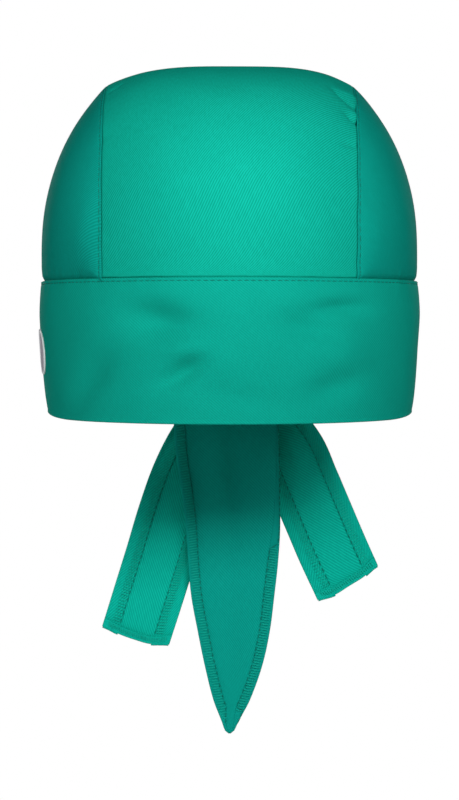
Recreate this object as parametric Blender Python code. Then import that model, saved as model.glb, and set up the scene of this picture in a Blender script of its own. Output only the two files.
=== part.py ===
"""Chef bandana, tied and in its worn form. Metres, +Z up.

The forehead faces -Y, and "left" is the viewer's left (-X) of someone in front of it.
The origin is the middle of the head opening, at the height of the band's lower rim.
The crown is three panels: a centre panel from forehead to nape, and one over each ear.
The band stands round the front, and runs into a tie on each side. The ties are knotted
at the nape over the tail, which carries the centre panel on below the rim.
"""
import math

import bmesh
import bpy
from mathutils import Vector

# Head opening, crown and band
SEAM_HALF_WIDTH = 0.0841        # ear to middle, at the seam on top of the band
FRONT_DEPTH = 0.104             # forehead to the ear line, at the same seam
BACK_DEPTH = 0.101              # nape to the ear line
BAND_HEIGHT = 0.058
FRONT_DIP = 0.0018              # how much lower the rim is over the forehead
DIP_SPREAD = 1.8                # above 1 the low part of the rim reaches further round
CROWN_RISE = 0.0953             # from the band's top seam to the top of the crown
CENTRE_HALF_WIDTH = 0.054       # half the centre panel, at its widest
SIDE_BULGE = 0.0113             # how far a side panel swells past a straight line
SWELL_UP = 0.9                  # below 1 the swelling sits nearer the upper seam
BACK_HEM_HEIGHT = 0.008         # the crown's hem at the nape, above the rim

# Ties, knot and tail
TIE_WIDTH = 0.034
LEFT_TIE_LENGTH = 0.1260        # from the knot to the end
RIGHT_TIE_LENGTH = 0.1050
TIE_HEM = 0.0045
KNOT_WIDTH = 0.028
KNOT_HEIGHT = 0.024
KNOT_DEPTH = 0.015
KNOT_MIDDLE = 0.014             # the knot's middle above the rim
TAIL_WIDTH = 0.0505
TAIL_LENGTH = 0.1705
TAIL_HEM = 0.0065

# Label on the left side of the band
LABEL_HEIGHT = 0.0200
LABEL_WIDTH = 0.0200
LABEL_TURN = math.radians(-77)
LABEL_MIDDLE = 0.0270

# Cloth and clearances
CROWN_CLOTH = 0.0015
BAND_CLOTH = 0.002              # two layers and their turnings
TIE_CLOTH = 0.0012
HEM_CLOTH = 0.0021              # a folded edge
LABEL_CLOTH = 0.0008
SEAM_GAP = 0.0004               # between panels that are sewn edge to edge
LAP_GAP = 0.0006                # between pieces that lie on each other

# Turns round the head, from the middle of the forehead
BAND_TURN = math.radians(105)
TUCK_FROM = math.radians(90)    # behind here the crown slips inside the band
TUCK_TO = math.radians(103)
HEM_TURN = math.radians(132)    # behind here the crown's hem runs level
TUCK_HOLD = 0.011               # how far above the tie the crown is still drawn in
TUCK_FADE = 0.014               # height over which it swells out again

# Girth of the band at even steps from rim to seam, as shares of the girth at the seam
BAND_GIRTH = ((0.970,), (0.982,), (0.991,), (0.998,), (1.003,), (1.0085,), (1.0125,),
              (1.009,), (1.0,))

# Middle line of the centre panel, from the band's seam over the top to the hem.
# depth: share of the front or back depth. rise: share of the crown's rise above the seam,
# or below it of the drop to the hem. width: share of CENTRE_HALF_WIDTH.
# drop: how far the panel's edge lies inside its middle, as a share of CENTRE_HALF_WIDTH.
# round: power that shapes the panel across.
#               depth   rise    width   drop   round
CENTRE_LINE = ((-1.000, 0.000, 0.980, 0.430, 2.20),
               (-0.945, 0.425, 0.985, 0.385, 2.30),
               (-0.735, 0.775, 0.990, 0.300, 2.50),
               (-0.390, 0.950, 0.998, 0.195, 3.20),
               (0.040, 1.000, 0.990, 0.143, 3.40),
               (0.480, 0.940, 0.910, 0.150, 3.20),
               (0.830, 0.690, 0.780, 0.185, 2.50),
               (1.000, 0.280, 0.640, 0.170, 2.20),
               (1.010, -0.260, 0.530, 0.130, 2.10),
               (0.960, -1.000, 0.468, 0.090, 2.00))

# Creases: round is a turn in degrees, up a share of the band's height, length and width
# are half sizes as shares of that height, tilt is in degrees, and depth is a share of
# the band's cloth, negative for a ridge.
#                round   up    length width  tilt  depth
BAND_CREASES = ((-21.0, 0.83, 0.24, 0.060, 0.0, 0.55),
                (-13.0, 0.36, 0.20, 0.065, 26.0, 0.50),
                (32.0, 0.86, 0.30, 0.055, -4.0, 0.50),
                (28.0, 0.29, 0.22, 0.140, 12.0, 0.45),
                (-19.0, 0.66, 0.12, 0.090, 0.0, -0.35))

# Puckers beside the right seam of the centre panel. along: share of the panel's line.
# out: place across the side panel, from its upper seam. size: half length as a share of
# CENTRE_HALF_WIDTH. depth: share of the crown's cloth, negative for a ridge.
#                 along   out   size  depth
SEAM_PUCKERS = ((0.330, 0.06, 0.20, 0.9),
                (0.380, 0.10, 0.16, -0.8),
                (0.290, 0.10, 0.16, 0.7),
                (0.200, 0.14, 0.22, -0.5))

# Middle line of each tie's hanging end, from the knot down at even steps of its length.
# out and down are shares of the tie's length, width a share of TIE_WIDTH, and back how
# far behind the tail it hangs, as a share of KNOT_DEPTH.
#             out     down   width  back
LEFT_TIE = ((0.000, 0.000, 0.62, 0.36),
            (-0.060, -0.152, 0.94, 0.30),
            (-0.128, -0.300, 1.00, 0.24),
            (-0.184, -0.456, 1.00, 0.20),
            (-0.232, -0.616, 1.00, 0.22),
            (-0.282, -0.776, 1.00, 0.25),
            (-0.333, -0.937, 0.99, 0.30))
RIGHT_TIE = ((0.000, 0.000, 0.60, 0.72),
             (0.120, -0.115, 0.92, 0.64),
             (0.220, -0.245, 1.00, 0.50),
             (0.288, -0.395, 1.00, 0.44),
             (0.354, -0.550, 1.00, 0.42),
             (0.420, -0.705, 1.00, 0.42),
             (0.490, -0.858, 0.99, 0.46))
LEFT_TIE_START = -0.18          # shares of the knot's width from its middle
RIGHT_TIE_START = 0.25
TURN_DEPTH = 0.07               # groove between the knot's turns, as a share of its depth
PLEATS = 3
PLEAT_DEPTH = 0.0016
GATHER_FROM = 0.45              # share of a wrap's length where its gathers begin
GATHER_LIFT = 0.3               # rise of the gathered tie at the knot, in knot depths

# Tail at even steps from the crown's hem down: width and sideways shift as shares of
# TAIL_WIDTH, and lean of its lower part towards the neck as a share of TAIL_LENGTH.
#        width  shift   lean
TAIL = ((1.010, -0.034, 0.000),
        (1.000, -0.034, 0.000),
        (0.985, -0.015, 0.004),
        (0.940, 0.012, 0.010),
        (0.907, 0.034, 0.016),
        (0.863, 0.035, 0.020),
        (0.795, 0.032, 0.022),
        (0.690, 0.042, 0.022),
        (0.548, 0.040, 0.020),
        (0.345, 0.022, 0.018),
        (0.030, 0.000, 0.016))

CLOTH_GREEN = (0.013, 0.371, 0.296)
HEM_GREEN = (0.010, 0.300, 0.240)
LABEL_WHITE = (0.62, 0.66, 0.68)


def read_table(table, share):
    """Return the row at a share of the table's length, on a curve through its rows."""
    last = len(table) - 1
    place = min(max(share, 0.0), 1.0) * last
    first = min(int(place), last - 1)
    t = place - first
    rows = [table[min(max(first + step, 0), last)] for step in (-1, 0, 1, 2)]
    return [0.5 * (2 * b + (c - a) * t + (2 * a - 5 * b + 4 * c - d) * t ** 2
                   + (3 * b - a - 3 * c + d) * t ** 3) for a, b, c, d in zip(*rows)]


def smooth(value):
    """Ease from 0 to 1."""
    value = min(max(value, 0.0), 1.0)
    return value * value * (3 - 2 * value)


def mix(start, end, share):
    return start + (end - start) * share


def depth_at(back):
    """Half depth of the head opening in front of the ear line, or behind it."""
    return BACK_DEPTH if back else FRONT_DEPTH


def head_face(turn, height, inset=0.0):
    """Point of the band's outer face at a turn and a height, or inset from it."""
    depth = depth_at(abs(turn) > math.pi / 2)
    girth = read_table(BAND_GIRTH, height / BAND_HEIGHT)[0]
    outward = Vector((math.sin(turn) / SEAM_HALF_WIDTH, -math.cos(turn) / depth, 0)).normalized()
    face = Vector((SEAM_HALF_WIDTH * girth * math.sin(turn), -depth * girth * math.cos(turn), height))
    return face - outward * inset


def head_turn(point):
    return math.atan2(point.x / SEAM_HALF_WIDTH, -point.y / depth_at(point.y > 0))


def inward(point):
    """Direction from the cloth into the head, the same for every piece of the shell."""
    depth = depth_at(point.y > 0)
    rise = max(point.z - BAND_HEIGHT, 0.0)
    return -Vector((point.x / SEAM_HALF_WIDTH ** 2, point.y / depth ** 2,
                    rise / CROWN_RISE ** 2)).normalized()


KNOT_SIDE_TURN = math.pi - math.asin((KNOT_WIDTH / 2 + SEAM_GAP) / SEAM_HALF_WIDTH)
GATHERED_TIE = KNOT_HEIGHT * 0.75       # height of the tie where it enters the knot


def wrap_edges(turn):
    """Lower and upper edge of the band and of the tie that continues it."""
    share = smooth((abs(turn) - BAND_TURN) / (KNOT_SIDE_TURN - BAND_TURN))
    height = mix(BAND_HEIGHT, TIE_WIDTH, smooth(share / 0.6))
    height = mix(height, GATHERED_TIE, smooth((share - 0.55) / 0.45))
    middle = mix(BAND_HEIGHT / 2, KNOT_MIDDLE, share)
    return middle - height / 2, middle + height / 2


def tucked(point):
    """Slip a point of the crown inside the band and the tie, behind the ear."""
    turn = head_turn(point)
    behind = smooth((abs(turn) - TUCK_FROM) / (TUCK_TO - TUCK_FROM))
    above = point.z - wrap_edges(turn)[1]
    held = behind * (1 - smooth((above - TUCK_HOLD) / TUCK_FADE))
    limit = head_face(turn, min(point.z, BAND_HEIGHT), BAND_CLOTH + LAP_GAP)
    ratio = limit.xy.length / point.xy.length
    if ratio < 1:
        point.xy *= mix(1, ratio, held)
    return point


def crown_seam(turn):
    """Lower edge of the crown: on the band in front, and inside it behind the ear."""
    descent = smooth((abs(turn) - TUCK_TO) / (HEM_TURN - TUCK_TO))
    height = mix(BAND_HEIGHT + SEAM_GAP / 2, BACK_HEM_HEIGHT, descent)
    behind = smooth((abs(turn) - TUCK_FROM) / (TUCK_TO - TUCK_FROM))
    return head_face(turn, min(height, BAND_HEIGHT), behind * (BAND_CLOTH + LAP_GAP)) \
        + Vector((0, 0, max(height - BAND_HEIGHT, 0)))


def centre_line(share):
    """Depth, height and the other columns of the centre panel's middle line."""
    depth, rise, width, drop, power = read_table(CENTRE_LINE, share)
    y = depth * depth_at(depth > 0)
    below = BAND_HEIGHT - BACK_HEM_HEIGHT
    z = BAND_HEIGHT + SEAM_GAP / 2 + rise * (CROWN_RISE if rise > 0 else below)
    return y, z, width * CENTRE_HALF_WIDTH, drop * CENTRE_HALF_WIDTH, power


def centre_face(across, share):
    """Point of the centre panel's outer face; across runs from -1 to 1."""
    y, z, width, drop, power = centre_line(share)
    step = 0.01
    back = centre_line(min(share + step, 1.0))
    front = centre_line(max(share - step, 0.0))
    run = Vector((0, back[0] - front[0], back[1] - front[1])).normalized()
    inside = Vector((0, run.z, -run.y))
    point = Vector((across * width, y, z)) + inside * drop * abs(across) ** power
    seam_turn = math.asin(across * width / SEAM_HALF_WIDTH)
    on_seam = head_face(seam_turn, BAND_HEIGHT) + Vector((0, 0, SEAM_GAP / 2))
    return tucked(point.lerp(on_seam, 1 - smooth(share / 0.12)))


FRONT_CORNER = math.asin(CENTRE_LINE[0][2] * CENTRE_HALF_WIDTH / SEAM_HALF_WIDTH)
BACK_CORNER = math.pi - math.asin(CENTRE_LINE[-1][2] * CENTRE_HALF_WIDTH / SEAM_HALF_WIDTH)
PANEL_TIP = 0.002               # width of a side panel's cut tips
PANEL_ROWS = 36                 # rows of faces along every panel of the crown
TIP_SHARE = 0.3                 # height of a cut tip, as a share of one row
CENTRE_POINTS = [Vector(centre_line(row / PANEL_ROWS)[:2]) for row in range(PANEL_ROWS + 1)]
CENTRE_LENGTH = sum((end - start).length for start, end in zip(CENTRE_POINTS, CENTRE_POINTS[1:]))


def side_face(side, share, down):
    """Point of a side panel's outer face; down runs from the upper seam to the lower."""
    upper = centre_face(side, share)
    lower = crown_seam(side * mix(FRONT_CORNER, BACK_CORNER, share))
    if share in (0, 1):         # the panel's pointed tips are cut off
        upper = upper.lerp(centre_face(side, abs(share - 1 / PANEL_ROWS)), TIP_SHARE)
        front_turn = FRONT_CORNER + PANEL_TIP / FRONT_DEPTH
        back_turn = BACK_CORNER - PANEL_TIP / BACK_DEPTH
        lower = crown_seam(side * (back_turn if share else front_turn))
    chord = lower - upper
    down = mix(SEAM_GAP / 2 / chord.length, 1, down)
    widest = math.hypot(SEAM_HALF_WIDTH - CENTRE_HALF_WIDTH, CROWN_RISE)
    swell = SIDE_BULGE * min(chord.length / widest, 1.2) * math.sin(math.pi * down ** SWELL_UP)
    point = upper + chord * down
    point -= inward(point) * swell
    if side > 0:
        for along, out, size, depth in SEAM_PUCKERS:
            reach = size * CENTRE_HALF_WIDTH
            far = math.hypot((share - along) * CENTRE_LENGTH, (down - out) * chord.length)
            point += inward(point) * depth * CROWN_CLOTH * math.exp(-(far / reach) ** 2 * 3)
    return tucked(point)


def band_face(turn, height):
    """Point of the band's outer face with its creases."""
    point = head_face(turn, height)
    for round_turn, up, length, width, tilt, depth in BAND_CREASES:
        along = (turn - math.radians(round_turn)) * FRONT_DEPTH
        rise = height - up * BAND_HEIGHT
        lean = math.radians(tilt)
        run = (along * math.cos(lean) + rise * math.sin(lean)) / (length * BAND_HEIGHT)
        off = (rise * math.cos(lean) - along * math.sin(lean)) / (width * BAND_HEIGHT)
        point += inward(point) * depth * BAND_CLOTH * math.exp(-run * run - off * off)
    return point


def cloth_material(name, colour, roughness):
    material = bpy.data.materials.new(name)
    material.use_nodes = True
    shader = material.node_tree.nodes["Principled BSDF"]
    shader.inputs["Base Color"].default_value = (*colour, 1)
    shader.inputs["Roughness"].default_value = roughness
    shader.inputs["Metallic"].default_value = 0
    return material


def finish_piece(name, bm, colour, roughness=0.85):
    """Turn a bmesh into an object with its own material."""
    bmesh.ops.recalc_face_normals(bm, faces=bm.faces)
    if bm.calc_volume(signed=True) < 0:
        bmesh.ops.reverse_faces(bm, faces=bm.faces)
    mesh = bpy.data.meshes.new(name)
    bm.to_mesh(mesh)
    bm.free()
    mesh.shade_smooth()
    mesh.set_sharp_from_angle(angle=math.radians(40))
    mesh.materials.append(cloth_material(name + "_cloth", colour, roughness))
    piece = bpy.data.objects.new(name, mesh)
    bpy.context.collection.objects.link(piece)
    return piece


def cloth_piece(name, cells, outer, inner, colour=CLOTH_GREEN):
    """Make a closed wall of cloth from a grid: outer and inner place its two faces."""
    bm = bmesh.new()
    bmesh.ops.create_grid(bm, x_segments=cells[0], y_segments=cells[1], size=0.5)
    doubled = bmesh.ops.extrude_face_region(bm, geom=bm.faces[:], use_keep_orig=True)
    inside = {item for item in doubled["geom"] if isinstance(item, bmesh.types.BMVert)}
    for vert in bm.verts:
        across, up = vert.co.x + 0.5, vert.co.y + 0.5
        vert.co = inner(across, up) if vert in inside else outer(across, up)
    return finish_piece(name, bm, colour)


def shell_piece(name, cells, face, cloth, colour=CLOTH_GREEN):
    """Make a wall whose inner face lies straight inside its outer one."""
    def inner(across, up):
        point = face(across, up)
        return point + inward(point) * cloth
    return cloth_piece(name, cells, face, inner, colour)


HEM_CELLS = 9                   # cells across a hemmed strip: hem, step, middle, step, hem


def hem_column(across, hem):
    """Move the even columns of a hemmed strip to the edges of its hems."""
    step = 0.25 * hem
    middle = [mix(hem + step, 1 - hem - step, part / 5) for part in range(1, 5)]
    columns = [0, hem, hem + step, *middle, 1 - hem - step, 1 - hem, 1]
    return columns[round(across * HEM_CELLS)]


def hemmed_cloth(share, hem):
    """Thickness at a share of the width, doubled in the hems."""
    at_edge = share <= hem + 1e-6 or share >= 1 - hem - 1e-6
    return HEM_CLOTH if at_edge else TIE_CLOTH


def make_crown():
    def centre(across, share):
        edge = 1 - SEAM_GAP / 2 / CENTRE_HALF_WIDTH
        return centre_face(mix(-edge, edge, across), share)
    shell_piece("crown_centre_panel", (10, PANEL_ROWS), centre, CROWN_CLOTH)
    for side, name in ((-1, "crown_side_panel_left"), (1, "crown_side_panel_right")):
        shell_piece(name, (PANEL_ROWS, 10), lambda share, down: side_face(side, share, down),
                    CROWN_CLOTH)


def make_headband():
    def face(across, up):
        turn = mix(-BAND_TURN, BAND_TURN, across)
        rim = -FRONT_DIP * smooth(DIP_SPREAD * math.cos(turn))
        return band_face(turn, mix(rim, BAND_HEIGHT - SEAM_GAP / 2, up))
    shell_piece("headband", (50, 8), face, BAND_CLOTH)


def make_tie_wrap(side, name):
    """The tie from the end of the band round to the knot, gathered as it goes in."""
    start = BAND_TURN + SEAM_GAP / SEAM_HALF_WIDTH

    def face(along, up):
        turn = side * mix(start, KNOT_SIDE_TURN, along)
        low, high = wrap_edges(turn)
        point = head_face(turn, mix(low, high, up))
        gather = smooth((along - GATHER_FROM) / (1 - GATHER_FROM))
        pleat = PLEAT_DEPTH * math.sin(PLEATS * 2 * math.pi * up) ** 2
        lift = gather * (GATHER_LIFT * KNOT_DEPTH + pleat)
        return point - inward(Vector((point.x, point.y, 0))) * lift
    shell_piece(name, (16, 10), face, BAND_CLOTH, HEM_GREEN)


NAPE_GIRTH = read_table(BAND_GIRTH, KNOT_MIDDLE / BAND_HEIGHT)[0]
KNOT_FRONT = BACK_DEPTH * NAPE_GIRTH - BAND_CLOTH + LAP_GAP / 2


def make_knot():
    """Rounded lump with the turns of the tie wound over it."""
    bm = bmesh.new()
    bmesh.ops.create_uvsphere(bm, u_segments=24, v_segments=16, radius=1)
    half = Vector((KNOT_WIDTH / 2, KNOT_DEPTH / 2, KNOT_HEIGHT / 2))
    middle = Vector((0, KNOT_FRONT + KNOT_DEPTH / 2, KNOT_MIDDLE))
    for vert in bm.verts:
        boxy = Vector([math.copysign(abs(part) ** 0.62, part) for part in vert.co.zxy])
        turns = 1 - TURN_DEPTH * math.sin(1.5 * math.pi * boxy.x) ** 2
        vert.co = middle + Vector((boxy.x * half.x, boxy.y * half.y * turns, boxy.z * half.z * turns))
    finish_piece("knot", bm, HEM_GREEN)


def make_tie_end(name, table, length, start):
    """A tie's hanging end, pleated under the knot and flat below, with folded edges."""
    hem = TIE_HEM / TIE_WIDTH
    top = Vector((start * KNOT_WIDTH, KNOT_FRONT, KNOT_MIDDLE - KNOT_HEIGHT / 2 - SEAM_GAP))

    def place(across, along, cloth):
        out, down, width, back = read_table(table, along)
        ahead = read_table(table, min(along + 0.05, 1.0))
        behind = read_table(table, max(along - 0.05, 0.0))
        run = Vector((ahead[0] - behind[0], 0, ahead[1] - behind[1])).normalized()
        level = 1 - smooth(along / 0.15)
        sideways = Vector((-run.z, 0, run.x)).lerp(Vector((1, 0, 0)), level).normalized()
        share = hem_column(across, hem)
        pleat = PLEAT_DEPTH * math.sin(PLEATS * 2 * math.pi * share) * (1 - smooth(along / 0.5))
        middle = top + Vector((out * length, back * KNOT_DEPTH + pleat - cloth, down * length))
        return middle + sideways * (share - 0.5) * width * TIE_WIDTH

    cloth_piece(name, (HEM_CELLS, 18), lambda u, v: place(u, v, 0),
                lambda u, v: place(u, v, hemmed_cloth(hem_column(u, hem), hem)), HEM_GREEN)


def make_tail():
    """The pointed tail, whose folded edges show on the side towards the neck."""
    top = BACK_HEM_HEIGHT - SEAM_GAP
    hem = TAIL_HEM / TAIL_WIDTH
    back = head_face(math.pi, max(top, 0), BAND_CLOTH + LAP_GAP).y

    def place(across, along, cloth):
        width, shift, lean = read_table(TAIL, along)
        share = hem_column(across, hem)
        x = (shift + (share - 0.5) * width) * TAIL_WIDTH
        round_nape = (1 - smooth(along / 0.35)) * (back - back * math.sqrt(1 - (x / SEAM_HALF_WIDTH) ** 2))
        return Vector((x, back - round_nape - lean * TAIL_LENGTH - cloth, top - along * TAIL_LENGTH))

    cloth_piece("tail", (HEM_CELLS, 26), lambda u, v: place(u, v, 0),
                lambda u, v: place(u, v, hemmed_cloth(hem_column(u, hem), hem)), HEM_GREEN)


def make_side_label():
    """Blank oval patch, lying on the band."""
    def place(across, up, lift):
        u, v = 2 * across - 1, 2 * up - 1
        disc_u, disc_v = u * math.sqrt(1 - v * v / 2), v * math.sqrt(1 - u * u / 2)
        arc = math.hypot(SEAM_HALF_WIDTH * math.cos(LABEL_TURN), FRONT_DEPTH * math.sin(LABEL_TURN))
        turn = LABEL_TURN + disc_u * LABEL_WIDTH / 2 / arc
        height = LABEL_MIDDLE + disc_v * LABEL_HEIGHT / 2
        return head_face(turn, height, -lift)
    cloth_piece("side_label", (8, 8), lambda u, v: place(u, v, LAP_GAP / 2 + LABEL_CLOTH),
                lambda u, v: place(u, v, LAP_GAP / 2), LABEL_WHITE)


def main():
    for old in list(bpy.data.objects):
        bpy.data.objects.remove(old, do_unlink=True)
    make_crown()
    make_headband()
    make_tie_wrap(-1, "tie_wrap_left")
    make_tie_wrap(1, "tie_wrap_right")
    make_knot()
    make_tie_end("tie_end_left", LEFT_TIE, LEFT_TIE_LENGTH, LEFT_TIE_START)
    make_tie_end("tie_end_right", RIGHT_TIE, RIGHT_TIE_LENGTH, RIGHT_TIE_START)
    make_tail()
    make_side_label()


main()
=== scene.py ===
# Chef bandana in its worn form: the looks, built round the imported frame.
# The forehead faces -Y, and left is the viewer's left (-X). Metres throughout.
import math

import bmesh
import bpy
from mathutils import Matrix, Vector, noise


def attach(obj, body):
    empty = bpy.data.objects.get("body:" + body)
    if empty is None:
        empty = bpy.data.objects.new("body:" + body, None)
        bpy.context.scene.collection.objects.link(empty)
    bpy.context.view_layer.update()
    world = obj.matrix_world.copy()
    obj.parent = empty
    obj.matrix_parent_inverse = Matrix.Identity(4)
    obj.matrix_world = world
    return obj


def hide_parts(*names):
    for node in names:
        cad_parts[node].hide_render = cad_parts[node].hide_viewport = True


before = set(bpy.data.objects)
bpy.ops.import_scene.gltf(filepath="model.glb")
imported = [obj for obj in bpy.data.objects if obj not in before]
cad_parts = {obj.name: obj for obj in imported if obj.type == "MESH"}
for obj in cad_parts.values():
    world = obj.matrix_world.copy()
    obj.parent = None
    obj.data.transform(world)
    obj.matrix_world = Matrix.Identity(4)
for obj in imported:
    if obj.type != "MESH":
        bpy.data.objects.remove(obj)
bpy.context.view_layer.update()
print("frame loaded:", len(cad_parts), "nodes")

mm = 0.001


def hexColour(text):
    # sRGB hex to the linear colour that Blender's sockets take
    parts = [int(text[i:i + 2], 16) / 255 for i in (1, 3, 5)]
    linear = [p / 12.92 if p <= 0.04045 else ((p + 0.055) / 1.055) ** 2.4 for p in parts]
    return (*linear, 1)


def addNode(tree, kind, sockets=None, **settings):
    # adds a node; sockets maps an input's name or number to a value or to another output
    node = tree.nodes.new(kind)
    for name, value in settings.items():
        setattr(node, name, value)
    for name, value in (sockets or {}).items():
        if isinstance(value, bpy.types.NodeSocket):
            tree.links.new(value, node.inputs[name])
        else:
            node.inputs[name].default_value = value
    return node


def toMesh(name, bm):
    mesh = bpy.data.meshes.new(name)
    bm.to_mesh(mesh)
    bm.free()
    return mesh


def addObject(name, data):
    made = bpy.data.objects.new(name, data)
    bpy.context.collection.objects.link(made)
    return made


def newMaterial(name):
    material = bpy.data.materials.new(name)
    material.use_nodes = True
    tree = material.node_tree
    return material, tree, tree.nodes["Principled BSDF"]


# Polycotton twill, piece dyed, about 215 g per square metre. The weave gives fine slanted
# lines, and the dye takes a little unevenly. Real lines are 0.5 mm apart; they are drawn
# at 0.9 mm, the finest that shows, and follow the cut of each piece through its UV map.
twill = {
    "linePitch": 0.9,           # mm
    "yarn": 0.45,               # mm
    "mottle": 16.0,             # mm
    "relief": 0.10,             # mm, height of the weave
    "yarnShare": 0.45,          # of the weave, the rest is the slanted lines
    "mottleShare": 0.14,        # of the tone
    "roughness": 0.86,
    "gloss": 0.03,
}
wavePitch = 2 * math.pi / 20    # a wave texture of this scale has lines one unit apart


def makeTwill(name, low, high, slant):
    material, tree, shader = newMaterial(name)
    cloth = addNode(tree, "ShaderNodeUVMap", uv_map="clothMap")
    turned = addNode(tree, "ShaderNodeMapping", {"Vector": cloth.outputs[0],
                     "Rotation": (0, 0, math.radians(slant))})
    lines = addNode(tree, "ShaderNodeTexWave", {
        "Vector": turned.outputs[0], "Scale": wavePitch / twill["linePitch"],
        "Distortion": 0.4, "Detail": 1.0, "Detail Scale": 1.2})
    long = addNode(tree, "ShaderNodeMapping", {"Vector": cloth.outputs[0], "Scale": (1, 0.25, 1)})
    yarns = addNode(tree, "ShaderNodeTexNoise", {"Vector": long.outputs[0],
                    "Scale": 1 / twill["yarn"] / 2, "Detail": 2.0, "Roughness": 0.6})
    mottle = addNode(tree, "ShaderNodeTexNoise", {"Vector": cloth.outputs[0],
                     "Scale": 1 / twill["mottle"], "Detail": 3.0, "Roughness": 0.55})
    weave = addNode(tree, "ShaderNodeMix", {0: twill["yarnShare"],
                    2: lines.outputs["Fac"], 3: yarns.outputs["Fac"]}, data_type="FLOAT")
    shade = addNode(tree, "ShaderNodeMix", {0: twill["mottleShare"],
                    2: weave.outputs[0], 3: mottle.outputs["Fac"]}, data_type="FLOAT")
    tone = addNode(tree, "ShaderNodeMapRange", {"Value": shade.outputs[0], "From Min": 0.28,
                   "From Max": 0.72})
    colour = addNode(tree, "ShaderNodeMix", {"Factor": tone.outputs[0], 6: hexColour(low),
                     7: hexColour(high)}, data_type="RGBA")
    relief = addNode(tree, "ShaderNodeBump", {"Height": weave.outputs[0], "Strength": 0.55,
                     "Distance": twill["relief"] * mm})
    tree.links.new(colour.outputs[2], shader.inputs["Base Color"])
    tree.links.new(relief.outputs[0], shader.inputs["Normal"])
    shader.inputs["Roughness"].default_value = twill["roughness"]
    shader.inputs["Specular IOR Level"].default_value = twill["gloss"]
    return material


# One cloth, cut five ways: the crown along the grain, its sides across it, the band with its
# lines leaning the other way, the wrong side on the tail, and the single layer of the ties.
# The sides and the tail are darker copies as painted shade; the ties a lighter one as painted
# light.
crownTwill = makeTwill("polycotton twill crown", "#05957f", "#10b69f", 36)
# darker copy for the side panels: painted shade where they turn away from the light
shadedSideTwill = makeTwill("polycotton twill sides, painted shade", "#048b7b", "#0aa090", 20)
bandTwill = makeTwill("polycotton twill band", "#089a87", "#0cab96", -55)
# darker copy for the tail: painted shade where it hangs under the cap
shadedTailTwill = makeTwill("polycotton twill wrong side, painted shade", "#049385", "#0ba595", -35)
# lighter copy for the ties and the knot: painted light on them
litTieTwill = makeTwill("polycotton twill ties, painted light", "#04a793", "#0dc4ac", -35)


def makeThread(name, colour, roughness):
    # spun polyester sewing thread: even colour with the twist of its plies
    material, tree, shader = newMaterial(name)
    place = addNode(tree, "ShaderNodeTexCoord")
    ply = addNode(tree, "ShaderNodeTexNoise", {"Vector": place.outputs["Object"],
                  "Scale": 1600.0, "Detail": 1.0})
    tone = addNode(tree, "ShaderNodeMix", {"Factor": ply.outputs["Fac"],
                   6: hexColour(colour[0]), 7: hexColour(colour[1])}, data_type="RGBA")
    relief = addNode(tree, "ShaderNodeBump", {"Height": ply.outputs["Fac"], "Strength": 0.4,
                     "Distance": 0.00005})
    tree.links.new(tone.outputs[2], shader.inputs["Base Color"])
    tree.links.new(relief.outputs[0], shader.inputs["Normal"])
    shader.inputs["Roughness"].default_value = roughness
    shader.inputs["Specular IOR Level"].default_value = 0.1
    return material


# the running stitches' thread is darker than the cloth: painted shade of the grooves they sink
# into and of the gaps under the flaps' raw edges
shadedSewingThread = makeThread("spun polyester thread, painted shade", ("#046a5d", "#078070"), 0.6)
# the overlock thread is lighter than the hem cloth: painted light on hems that sit in shade
litOverlockThread = makeThread("textured overlock thread, painted light", ("#08a590", "#13c6ae"), 0.7)

# Woven satin patch with a merrowed rim: pale grey face, left blank, and a lighter edge.
labelCloth, labelTree, labelShader = newMaterial("woven satin patch")
labelPlace = addNode(labelTree, "ShaderNodeUVMap", uv_map="clothMap")
labelYarn = addNode(labelTree, "ShaderNodeTexWave", {"Vector": labelPlace.outputs[0],
                    "Scale": wavePitch / 0.5, "Distortion": 0.4}, bands_direction="Y")
labelTone = addNode(labelTree, "ShaderNodeMix", {"Factor": labelYarn.outputs["Fac"],
                    6: hexColour("#b8b0bf"), 7: hexColour("#d0cbd6")}, data_type="RGBA")
labelRelief = addNode(labelTree, "ShaderNodeBump", {"Height": labelYarn.outputs["Fac"],
                      "Strength": 0.4, "Distance": 0.00008})
labelTree.links.new(labelTone.outputs[2], labelShader.inputs["Base Color"])
labelTree.links.new(labelRelief.outputs[0], labelShader.inputs["Normal"])
labelShader.inputs["Roughness"].default_value = 0.55
rimThread = makeThread("merrowed rayon rim", ("#f0f4f4", "#ffffff"), 0.5)
print("materials ready")


# The head form that all the cloth follows
head = {
    "halfWidth": 0.0841,        # at the seam on top of the band
    "frontDepth": 0.104,
    "backDepth": 0.101,
    "bandHeight": 0.058,
    # girth from rim to seam, as shares of the girth at the seam
    "girth": ((0.970,), (0.982,), (0.991,), (0.998,), (1.003,), (1.0085,), (1.0125,),
              (1.009,), (1.0,)),
    "meanRadius": 0.095,        # turns a step round the band into its length
    "bandTurn": math.radians(105),      # the band narrows into the ties from here
    "tuckFrom": math.radians(90),       # the crown slips inside the band between these
    "tuckTo": math.radians(103),
    "hemTurn": math.radians(132),       # the crown's seam has come down to its hem here
    "tuckHold": 0.011,          # it is held in this far above the band's edge
    "tuckFade": 0.014,          # and let go over this height
    "tieWidth": 0.034,
    "knotWidth": 0.028,
    "knotHeight": 0.024,
    "knotDepth": 0.015,
    "knotMiddle": 0.014,
    "bandCloth": 0.002,
    "lap": 0.0006,
    "seamGap": 0.0004,
}


def readTable(table, share):
    last = len(table) - 1
    place = min(max(share, 0.0), 1.0) * last
    first = min(int(place), last - 1)
    t = place - first
    rows = [table[min(max(first + step, 0), last)] for step in (-1, 0, 1, 2)]
    return [0.5 * (2 * b + (c - a) * t + (2 * a - 5 * b + 4 * c - d) * t ** 2
                   + (3 * b - a - 3 * c + d) * t ** 3) for a, b, c, d in zip(*rows)]


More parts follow.
